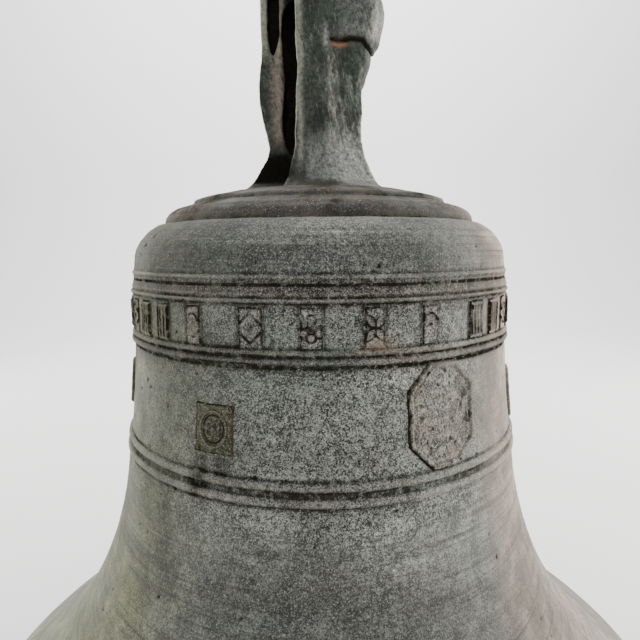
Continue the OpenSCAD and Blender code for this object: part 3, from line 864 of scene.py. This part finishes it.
def patch(azimuths, heights, grid, shape):
    """A closed patch of raised wall, on points about grid apart. shape(u, v, p) forms it.

    It gives the height and the marks. u and v run across and up from the patch's middle. They,
    the height and the grid are in millimetres.
    """
    middle = (azimuths[0] + azimuths[1]) / 2
    centre = (heights[0] + heights[1]) / 2
    radius = float(wall_radius(centre))
    across = math.radians(azimuths[1] - azimuths[0]) * radius
    nu = max(4, int(across / (grid * MM)))
    nv = max(4, int((heights[1] - heights[0]) / (grid * MM)))
    az, z = np.meshgrid(np.linspace(*azimuths, nu), np.linspace(*heights, nv))
    az, z = az.ravel(), z.ravel()
    r = wall_radius(z)
    slope = (wall_radius(z + MM) - wall_radius(z - MM)) / (2 * MM)
    lean = np.sqrt(1 + slope**2)
    normal = around(az, 1 / lean, -slope / lean)
    p = around(az, r, z)
    u = np.radians(az - middle) * radius / MM
    v = (z - centre) / MM
    height, marks = shape(u, v, p)
    front = p + normal * (height * MM + skin(p, wrap(az), z))[:, None]
    index = np.arange(nu * nv).reshape(nv, nu)
    rim = np.concatenate([index[0, :-1], index[:-1, -1], index[-1, :0:-1], index[:0:-1, 0]])
    back = p[rim] - normal[rim] * 3 * MM
    faces = np.stack([index[:-1, :-1], index[:-1, 1:], index[1:, 1:], index[1:, :-1]],
                     -1).reshape(-1, 4).tolist()
    base = nu * nv
    n = len(rim)
    for k in range(n):
        j = (k + 1) % n
        faces.append([int(rim[j]), int(rim[k]), base + k, base + j])
    faces.append([base + n - 1 - k for k in range(n)])
    marks = {key: np.concatenate([value, value[rim]]) for key, value in marks.items()}
    return np.concatenate([front, back]), faces, marks


def relief_marks(p, dirt_and_shade, wear_and_highlight, bright=1.0):
    """A relief's marks: its own dirt with painted shade, wear with painted highlights, the wall's
    painted light and shade, and the tints of the wall round it.
    """
    azimuth, z = azimuth_of(p), p[:, 2]
    none = 0 * dirt_and_shade
    return {
        "dirt_and_shade": held(dirt_and_shade), "wear_and_highlight": held(wear_and_highlight), "dust": none, "stain": rusty_stain(azimuth, z),
        "brown": none + 0.25, "grain": grain_share(azimuth, z), "swept": none + 0.3,
        "green": none, "painted_light_and_tone": bright * painted_light_and_tone(azimuth, z), **side_tints(p, azimuth),
    }


def tile_shape(motif, wear, half_w, half_h, seed):
    """A frieze tile: a low plate with a motif in raised lines, both worn."""
    def shape(u, v, p):
        ragged = 0.55 * fbm(p, 4, seed, 2)
        edge = slab(u, v, half_w, half_h) + ragged
        plate = step(0.5, -0.5, edge)
        whole = 1 - step(0.15, 0.75, fbm(p, 6, seed + 3, 3) + wear)
        lines = motif(u + 0.5 * ragged, v) * whole
        field = 0.75 + 0.30 * fbm(p, 3, seed + 5, 2)
        height = plate * (field + 0.85 * lines) - 1.1 * (1 - plate)
        # painted shade round the tile's edge, stronger on its left
        rim = hump(edge, -0.3, 1.0) * (1.15 - 0.4 * step(-half_w, half_w, u))
        dirt_and_shade = 1.3 * rim * (0.8 + 0.6 * fbm(p, 7, seed + 7, 2))
        # the motif's lines are darkened with painted shade
        dirt_and_shade = dirt_and_shade + 0.95 * lines * step(-0.7, 0.1, fbm(p, 5, seed + 9, 2))
        # painted highlight beside the lines, offset to their right
        lit = motif(u - 1.3, v + 0.4) * whole * (1 - lines)
        return height, relief_marks(p, dirt_and_shade, 0.9 * lit, 1.2)
    return shape


def join(parts):
    verts, faces, marks = [], [], {}
    base = 0
    for v, f, m in parts:
        verts.append(v)
        faces += [[base + i for i in face] for face in f]
        for key, value in m.items():
            marks.setdefault(key, []).append(value)
        base += len(v)
    return np.concatenate(verts), faces, {k: np.concatenate(v) for k, v in marks.items()}


def tile_patch(low, high, motif, wear, seed, grid):
    half_w = math.radians(high - low) / 2 * wall_radius(TILE_LOW) / MM
    shape = tile_shape(motif, wear, half_w, (TILE_HIGH - TILE_LOW) / 2 / MM, seed)
    return patch((low - 0.5, high + 0.5), (TILE_LOW - 0.6 * MM, TILE_HIGH + 0.6 * MM), grid, shape)


def frieze_tiles():
    """The band's tiles. The five on the front differ, and fluted ones fill most of the rest."""
    spans = [(wrap((low + high) / 2), low, high) for low, high in TILES]
    front = sorted(span for span in spans if abs(span[0]) < 36)
    rest = sorted((middle % 360, low, high) for middle, low, high in spans if abs(middle) >= 36)
    parts = []
    for k, (_, low, high) in enumerate(front):
        parts.append(tile_patch(low, high, MOTIFS[k % 4], FRONT_WEAR[k], 100 + 10 * k, 0.36))
    for k, (middle, low, high) in enumerate(rest):
        motif = MOTIFS[(k // 3) % 4] if k % 3 == 2 else fluting
        grid = 0.45 if abs(wrap(middle)) < 75 else 0.7
        parts.append(tile_patch(low, high, motif, -0.05, 300 + 10 * k, grid))
    return mesh_object("frieze_tiles_relief", *join(parts))


def relief(name, node, margin, grid, make_shape, *seed):
    """The relief that stands for a CAD node, on a patch that reaches margin degrees past it."""
    az0, az1, z0, z1 = extent(node)
    half_w = math.radians(az1 - az0) / 2 * wall_radius((z0 + z1) / 2) / MM
    shape = make_shape(half_w, (z1 - z0) / 2 / MM, *seed)
    return mesh_object(name, *patch((az0 - margin, az1 + margin), (z0 - MM, z1 + MM), grid, shape))


def octagon(u, v, half_w, half_h, cut):
    """Distance outside a rectangle with cut corners, negative inside."""
    return np.maximum(slab(u, v, half_w, half_h),
                      (np.abs(u) + np.abs(v) - half_w - half_h + cut) / 1.414)


def stamp_shape(half_w, half_h):
    """A plaque with a quatrefoil in two rings and a knob in each corner."""
    def shape(u, v, p):
        edge = slab(u, v, half_w, half_h) + 0.5 * fbm(p, 5, 201, 2)
        plate = step(0.6, -0.6, edge)
        away = np.hypot(u, v * 0.86)
        flower = np.maximum(stroke(petals(u, v, 4, 2.9, 2.3, math.pi / 4), 1.1),
                            stroke(np.hypot(u, v), 1.8))
        corner = stroke(np.hypot(np.abs(u) - half_w + 3, np.abs(v) - half_h + 3), 1.6)
        rings = stroke(away - 8.9, 1.3), 0.6 * stroke(away - 6.9, 0.7)
        lines = np.maximum.reduce([*rings, flower, corner])
        lines = lines * (1 - 0.6 * step(0.2, 0.8, fbm(p, 6, 203, 2)))
        height = plate * (0.8 + 0.25 * fbm(p, 3, 205, 2) + 0.8 * lines) - 1.1 * (1 - plate)
        spots = step(0.15, 0.6, fbm(p, 5, 207, 2)) * step(2, -half_w, u)
        # painted shade round the plaque's edge and beside its lines
        dirt_and_shade = 0.9 * hump(edge, -0.2, 0.9) + 0.8 * stroke(lines - 0.5, 0.6, 0.3)
        marks = relief_marks(p, dirt_and_shade + 0.22 + 0.5 * spots, 0.5 * lines, 0.60)
        marks["stain"] = 0.35 * stroke(edge + 0.2, 1.2, 0.8) * step(0, half_w, u)
        marks["olive"] = 0.9 * plate
        marks["brown"] = 0 * plate
        return height, marks
    return shape


def medallion_shape(half_w, half_h):
    """An octagonal plate with a rim, a leafed cross and two arcs at its foot."""
    def shape(u, v, p):
        edge = octagon(u, v, half_w, half_h, half_w * 0.6) + 0.9 * fbm(p, 9, 221, 3)
        plate = step(0.7, -0.7, edge)
        rim = stroke(edge + 1.9, 2.6, 1.4)
        ring = 0.6 * stroke(octagon(u, v, half_w - 6.5, half_h - 6.5, half_w * 0.5), 1.0, 0.7)
        away = np.hypot(u, v + 26)
        arcs = np.maximum(stroke(away - 12.0, 0.8, 0.5), stroke(away - 9.6, 0.7, 0.5))
        arcs = arcs * step(-24, -18, v)
        leaves = step(1.2, -1.5, petals(u, v - 3, 4, 8.5, 4.8, math.pi / 4))
        stem = step(1.4, -1.2, slab(u, v + 2, 1.4, 17)) + step(1.4, -1.2, slab(u, v - 4, 11, 1.3))
        charge = held(leaves + stem) * step(-0.35, 0.35, fbm(p, 9, 223, 2) + 0.1)
        lumps = 0.45 * fbm(p, 5, 225, 3)
        height = plate * (0.85 + 0.9 * rim + 0.5 * charge + 0.35 * ring + 0.45 * arcs + lumps)
        height = height - 1.2 * (1 - plate)
        # painted shade round the rim, stronger on the left
        shade = step(12, -half_w, u + 0.3 * v) * 0.9 + 0.4
        dirt_and_shade = shade * hump(edge, 0.2, 1.5) * (1 + 0.5 * fbm(p, 7, 229, 2))
        dirt_and_shade = dirt_and_shade + 0.5 * stroke(edge + 4.2, 1.8, 1.0) * step(-0.3, 0.5, fbm(p, 8, 227, 2))
        pits = step(0.25, 0.6, fbm(p, 3.6, 231, 2)) * plate
        dirt_and_shade = dirt_and_shade + 0.7 * pits + 0.5 * stroke(arcs - 0.5, 0.6, 0.3)
        # painted highlight on the rim's right side
        wear_and_highlight = 0.9 * rim * step(-half_w * 0.2, half_w * 0.7, u + 0.35 * v)
        marks = relief_marks(p, dirt_and_shade, wear_and_highlight + 0.08 * plate, 0.84)
        marks["brown"] = marks["brown"] + 0.45 * step(-0.5, 0.4, fbm(p, 16, 233, 2))
        return height - 0.3 * pits, marks
    return shape


def side_shape(_, radius, seed):
    """A round plate with a rim, six petals and a boss."""
    def shape(u, v, p):
        edge = np.hypot(u, v) - radius + 0.8 * fbm(p, 8, seed, 2)
        plate = step(0.7, -0.7, edge)
        rim = stroke(edge + 1.8, 2.6, 1.2)
        flower = step(0.8, -1.2, petals(u, v, 6, radius * 0.42, radius * 0.2))
        boss = step(1.0, -1.5, np.hypot(u, v) - radius * 0.2)
        lumps = 0.4 * fbm(p, 5, seed + 2, 2)
        height = plate * (0.8 + 1.3 * rim + 0.9 * np.maximum(flower, boss) + lumps)
        # painted shade round the plate's edge and inside its rim
        dirt_and_shade = 0.8 * hump(edge, 0.2, 0.9) + 0.4 * stroke(edge + 3.6, 1.4, 0.9)
        return height - 1.2 * (1 - plate), relief_marks(p, dirt_and_shade, 0.5 * rim)
    return shape


# ---- crown

CANONS = ("canon_front", "canon_front_right", "canon_back_right", "canon_back",
          "canon_back_left", "canon_front_left")


def melted(mesh, share, rounds):
    """Points drawn to their neighbours' mean, so that the steps where share is 1 flow together."""
    a, b, count = neighbours(mesh)
    p = coordinates(mesh)
    for _ in range(rounds):
        p = p + (share * 0.5)[:, None] * (neighbour_mean(p, a, b, count) - p)
    return p


def crown_sculpt(p, n):
    """The crown's knuckle, worn ledge and uneven surface, in millimetres.

    Returns the outward move, the share of the ledge's side and the ledge's height.
    """
    x, y, z = p.T / MM
    right = step(6, 11, x) * (y < 5) * step(-0.2, 0.5, n @ np.array([0.62, -0.78, 0.0]))
    # the ledge is level and falls at its right end; the knuckle swells above it
    ledge = 504.2 - 6.5 * step(29, 41, x) - 0.9 * noise(p, 7, 81)
    knuckle = step(-0.7, 0.9, z - ledge) * step(556, 530, z) * 1.6
    move = right * (knuckle - 1.5 * hump(z - ledge, -1.4, 1.3))
    slanted = np.stack([x + 0.25 * z, y, 0.12 * z], 1) * MM
    move += 0.35 * fbm(slanted, 3.4, 83, 2) + fbm(p, 18, 85, 3)
    move += 0.45 * fbm(p, 6, 86, 2) + 0.22 * fbm(p, 3, 87, 2)
    return move, right, ledge


def crown_marks(mesh, right, ledge):
    """Sets the crown's marks, with lengths in millimetres."""
    p, n = surface(mesh)
    x, y, z = p.T / MM
    uneven = fbm(p, 12, 91, 3)
    # painted shade between the arms round the argent, in the slit and recess at the left, and in the
    # hollows
    inside = step(31, 24, np.hypot(x, y)) * step(432, 440, z) * step(552, 544, z)
    deep = step(-35, -33.5, x + 4.5 * (z > 500)) * (x < -12) * (y < 30)
    deep = deep * step(-9, -7.5, y) * step(425, 435, z) * step(553, 548, z)
    left_foot = step(-14, -24, x) * step(437, 425, z) * step(405, 412, z) * (y < 12)
    dirt_and_shade = np.maximum(inside, 1.3 * deep) + 0.9 * step(0.1, 0.9, hollowness(mesh, 6))
    # painted shadow under the ledge
    dirt_and_shade = dirt_and_shade + right * hump(z - ledge, -0.8, 1.1)
    # painted shadow at the left foot, on faces turned to the front
    dirt_and_shade = dirt_and_shade + 1.2 * left_foot * step(-0.1, 0.35, -n[:, 1])
    front = step(-20, -13, x + 0.2 * y) * (y < 4)
    foot = step(450, 430, z + 9 * uneven) * step(404, 410, z)
    pale = foot * front * step(-1.0, -0.1, uneven)
    # painted highlight on faces turned to the left, along the front arm's left edge and on the left
    # arm's outer face
    left_face = step(0.25, 0.7, -n[:, 0]) * (y < -25) * hump(x, -14, 5)
    edge = hump(x + 2 * uneven, -12.6, 2.4) * step(-36, -39, y)
    outer = step(-36, -38, x) * (y < 10) * step(496, 512, z)
    painted_highlight = np.maximum.reduce([left_face, edge, outer])
    rose = step(-0.3, 0.4, -n[:, 1]) * hump(x, -29, 5.5) * (x < -20) * (y < -8)
    chip = hump(x, 5.5, 2.2) * hump(z, 504, 8) * step(-30, -36, y)
    copper = right * hump(z - ledge, -3.2, 2.0) * hump(x, 15, 5.5)
    lower = step(505, 480, z) * step(0, 9, x)
    upper = step(503, 507, z) * step(10, 22, x)
    marks = {
        "dirt_and_shade": held(dirt_and_shade), "pale": held(0.85 * pale + 0.8 * chip + 0.4 * upper),
        "dust": 0.85 * step(411.5, 405, z + 2 * fbm(p, 9, 93, 2)),
        "painted_highlight": 0.75 * painted_highlight * step(410, 430, z),
        "rose": 0.85 * rose * step(430, 450, z) * (1 - 0.5 * step(0, 0.6, uneven)),
        "copper": held(1.3 * copper), "mottle": 0.22 + 0.55 * lower + 0.75 * upper,
        "green": held(0.6 + 0.7 * fbm(p, 20, 95, 3)) * step(430, 450, z),
    }
    for key, values in marks.items():
        set_attribute(mesh, key, values)


def crown_casting():
    """Argent and canons as one casting, as they come out of the mould."""
    obj = remeshed("crown_casting", ("argent",) + CANONS, 1.15, 7)
    mesh = obj.data
    x, y, z = coordinates(mesh).T / MM
    # the front canon and its right neighbour flow together
    seam = 9 + 3 * step(460, 436, z) + 7 * step(432, 405, z)
    share = hump(x, seam, 9) * step(-22, -28, y) * step(402, 408, z)
    set_coordinates(mesh, melted(mesh, share, 150))
    p, n = surface(mesh)
    move, right, ledge = crown_sculpt(p, n)
    # the eye in the argent's head stays round
    move = move * (1 - 0.75 * step(0.556, 0.562, p[:, 2]))
    p = p + n * move[:, None] * MM
    p[:, 2] = np.minimum(p[:, 2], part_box("argent")[1][2])
    set_coordinates(mesh, p)
    crown_marks(mesh, right, ledge)
    return obj


# ---- clapper and its hanging


def dented(mesh, move):
    """Moves the surface outwards, in millimetres."""
    p, n = surface(mesh)
    set_coordinates(mesh, p + n * move[:, None] * MM)


def forged(name, node, voxel, soften, dent, seed):
    """A forged or cut piece: hammered faces, softened edges and bright worn corners."""
    obj = remeshed(name, (node,), voxel, soften)
    mesh = obj.data
    p = coordinates(mesh)
    dented(mesh, dent * (0.7 * fbm(p, 9, seed, 2) + 0.3 * fbm(p, 2.5, seed + 1, 2) - 0.4))
    set_attribute(mesh, "wear_and_highlight", 0.5 * step(0.05, 0.5, -hollowness(mesh, 4)))
    return obj


def clapper_piece():
    """The clapper, bright where its ball strikes."""
    obj = forged("clapper_forging", "clapper", 1.1, 3, 0.5, 141)
    p = coordinates(obj.data)
    ball_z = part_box("clapper")[0][2] + 48 * MM
    striking = hump(p[:, 2], ball_z, 9 * MM) * step(20 * MM, 31 * MM, np.abs(p[:, 0]))
    rubbed = 0.25 * step(0.2, 0.9, fbm(p, 30, 145, 2) + 0.3)
    set_attribute(obj.data, "wear_and_highlight", held(rubbed + striking))
    return obj


def leather_strap():
    obj = remeshed("leather_strap", ("baldric_strap",), 0.75, 3)
    mesh = obj.data
    p = coordinates(mesh)
    dented(mesh, 0.35 * fbm(p, 14, 151, 2) + 0.10 * fbm(p, 2, 153, 2) - 0.25)
    set_attribute(mesh, "wear_and_highlight", 0.6 * step(0.05, 0.4, -hollowness(mesh, 4)))
    return obj


def capsule(start, end, radius, sides=8, rings=4):
    """A closed round-ended stitch between two points."""
    start, end = np.array(start), np.array(end)
    length = np.linalg.norm(end - start)
    axis = (end - start) / length
    side = np.cross(axis, [0.3, 0.9, 0.31])
    side /= np.linalg.norm(side)
    other = np.cross(axis, side)
    bend = np.linspace(0.45, math.pi / 2, rings)
    along = np.concatenate([-radius * np.cos(bend), length + radius * np.cos(bend[::-1])])
    wide = radius * np.sin(np.concatenate([bend, bend[::-1]]))
    turns = -2 * math.pi * np.arange(sides) / sides
    spokes = np.outer(np.cos(turns), side) + np.outer(np.sin(turns), other)
    verts = (start + along[:, None, None] * axis + wide[:, None, None] * spokes).reshape(-1, 3)
    verts = np.concatenate([verts, [start - axis * radius, end + axis * radius]])
    return verts, ring_faces(2 * rings, sides), {}


def strap_stitching():
    """Two rows of waxed stitches down each outer face of the strap."""
    low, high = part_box("baldric_strap")
    parts = []
    for face in (low[0], high[0]):
        way = 1 if face > 0 else -1
        for y in (low[1] + 3.4 * MM, high[1] - 3.4 * MM):
            z = low[2] + 5 * MM
            while z < high[2] - 22 * MM:
                x = face - way * 0.15 * MM
                parts.append(capsule((x, y, z), (x, y, z + 3.4 * MM), 0.5 * MM))
                z += 5.2 * MM
    return mesh_object("strap_stitching", *join(parts))


# ---- assembly


def build_bell(bronze, crown):
    pieces = (
        (bell_body(), "bell_shell"),
        (frieze_tiles(), "frieze_tiles"),
        (relief("founder_stamp", "stamp_plaque", 0.6, 0.3, stamp_shape), "stamp_plaque"),
        (relief("octagon_medallion", "medallion", 0.6, 0.4, medallion_shape), "medallion"),
        (relief("left_medallion", "left_relief", 0.5, 0.5, side_shape, 241), "left_relief"),
        (relief("right_medallion", "right_relief", 0.5, 0.5, side_shape, 251), "right_relief"))
    for obj, node in pieces:
        finish_piece(obj, "bell", "weathered_bronze", bronze, node)
    finish_piece(crown_casting(), "bell", "crown_bronze", crown, "argent", *CANONS)


def build_clapper():
    wrought = rusty_iron("wrought_iron", (0.045, 0.038, 0.034), (0.105, 0.052, 0.027),
                         (0.30, 0.27, 0.24))
    forging = rusty_iron("forged_iron", (0.05, 0.045, 0.042), (0.085, 0.048, 0.03),
                         (0.42, 0.39, 0.36))
    pieces = (
        ("staple_forging", "crown_staple", 0.9, 2, 0.35, "bell"),
        ("garter_forging", "garter_iron", 0.75, 2, 0.35, "baldric"),
        ("strap_rivet_set", "strap_rivets", 0.45, 1, 0.15, "baldric"),
        ("garter_rivet_pair", "garter_rivets", 0.45, 1, 0.15, "baldric"),
        ("baldric_bolt_forging", "baldric_bolt", 0.6, 1, 0.15, "baldric"),
        ("bolt_washer_pair", "bolt_washers", 0.45, 1, 0.12, "baldric"),
        ("forelock_wedge_forging", "forelock_wedge", 0.45, 1, 0.12, "baldric"))
    for k, (name, node, voxel, soften, dent, body) in enumerate(pieces):
        obj = forged(name, node, voxel, soften, dent, 160 + 5 * k)
        finish_piece(obj, body, "wrought_iron", wrought, node)
    finish_piece(leather_strap(), "baldric", "strap_leather", oiled_leather(), "baldric_strap")
    finish_piece(strap_stitching(), "baldric", "strap_leather", waxed_thread())
    oak = forged("oak_busk", "busk_block", 0.7, 2, 0.25, 205)
    finish_piece(oak, "baldric", "oak", old_oak(), "busk_block")
    bush = remeshed("bronze_bush", ("eye_bush",), 0.6, 1)
    finish_piece(bush, "clapper", "bush_bronze", bearing_bronze(), "eye_bush")
    finish_piece(clapper_piece(), "clapper", "forged_iron", forging, "clapper")


# ---- stage, lights and camera


def sweep_backdrop():
    """A pale floor that curves up into a wall behind the bell."""
    wide, front, back, bend, tall = 5.0, -3.0, 2.4, 0.8, 3.4
    line = [(front, 0.0), (back - bend, 0.0)]
    for k in range(1, 13):
        a = math.pi / 2 * k / 12
        line.append((back - bend + bend * math.sin(a), bend - bend * math.cos(a)))
    line.append((back, tall))
    verts, faces = [], []
    for y, z in line:
        verts += [(-wide, y, z), (wide, y, z)]
    for k in range(len(line) - 1):
        faces.append([2 * k, 2 * k + 1, 2 * k + 3, 2 * k + 2])
    obj = mesh_object("backdrop", verts, faces)
    obj.data.materials.append(plain_stage("pale_stage", (0.85, 0.85, 0.845)))


def soft_light(name, place, aim, width, height, power, colour):
    data = bpy.data.lights.new(name, "AREA")
    data.shape = "RECTANGLE"
    data.size, data.size_y = width, height
    data.energy = power
    data.color = colour
    obj = bpy.data.objects.new(name, data)
    SCENE.collection.objects.link(obj)
    obj.location = place
    obj.rotation_euler = (Vector(aim) - Vector(place)).to_track_quat("-Z", "Y").to_euler()


def lights():
    middle = (0, 0, 0.28)
    soft_light("window_right", (1.45, 0.30, 0.55), middle, 0.9, 1.3, 28, (1.0, 0.94, 0.89))
    soft_light("window_left", (-1.4, 0.55, 0.5), middle, 0.9, 1.3, 13, (1.0, 0.99, 0.94))
    soft_light("ceiling", (0.0, -1.0, 1.7), middle, 1.6, 1.0, 7, (0.98, 0.99, 1.0))
    soft_light("backdrop_wash", (0.0, 0.7, 2.6), (0, 2.3, 0.7), 3.2, 0.8, 175, (1.0, 1.0, 0.995))
    world = bpy.data.worlds.new("studio")
    world.use_nodes = True
    background = world.node_tree.nodes["Background"]
    background.inputs[0].default_value = (0.97, 0.985, 1.0, 1)
    background.inputs[1].default_value = 0.5
    SCENE.world = world


def camera():
    """Stands in front of the bell a little above its double moulding, tipped down."""
    reach, rise, tip, roll = 1.516 * MOUTH_R, 1.302 * MOUTH_R, 7.63, -0.45
    data = bpy.data.cameras.new("camera")
    data.sensor_width = 36.0
    data.lens = 28.97
    data.clip_start = 0.01
    obj = bpy.data.objects.new("camera", data)
    SCENE.collection.objects.link(obj)
    turn = Matrix.Rotation(math.radians(90 - tip), 4, "X") @ Matrix.Rotation(
        math.radians(roll), 4, "Z")
    obj.matrix_world = Matrix.Translation((0.2 * MM, -reach, rise)) @ turn
    SCENE.camera = obj


camera()
lights()
sweep_backdrop()
build_bell(bronze_patina(), crown_patina())
build_clapper()
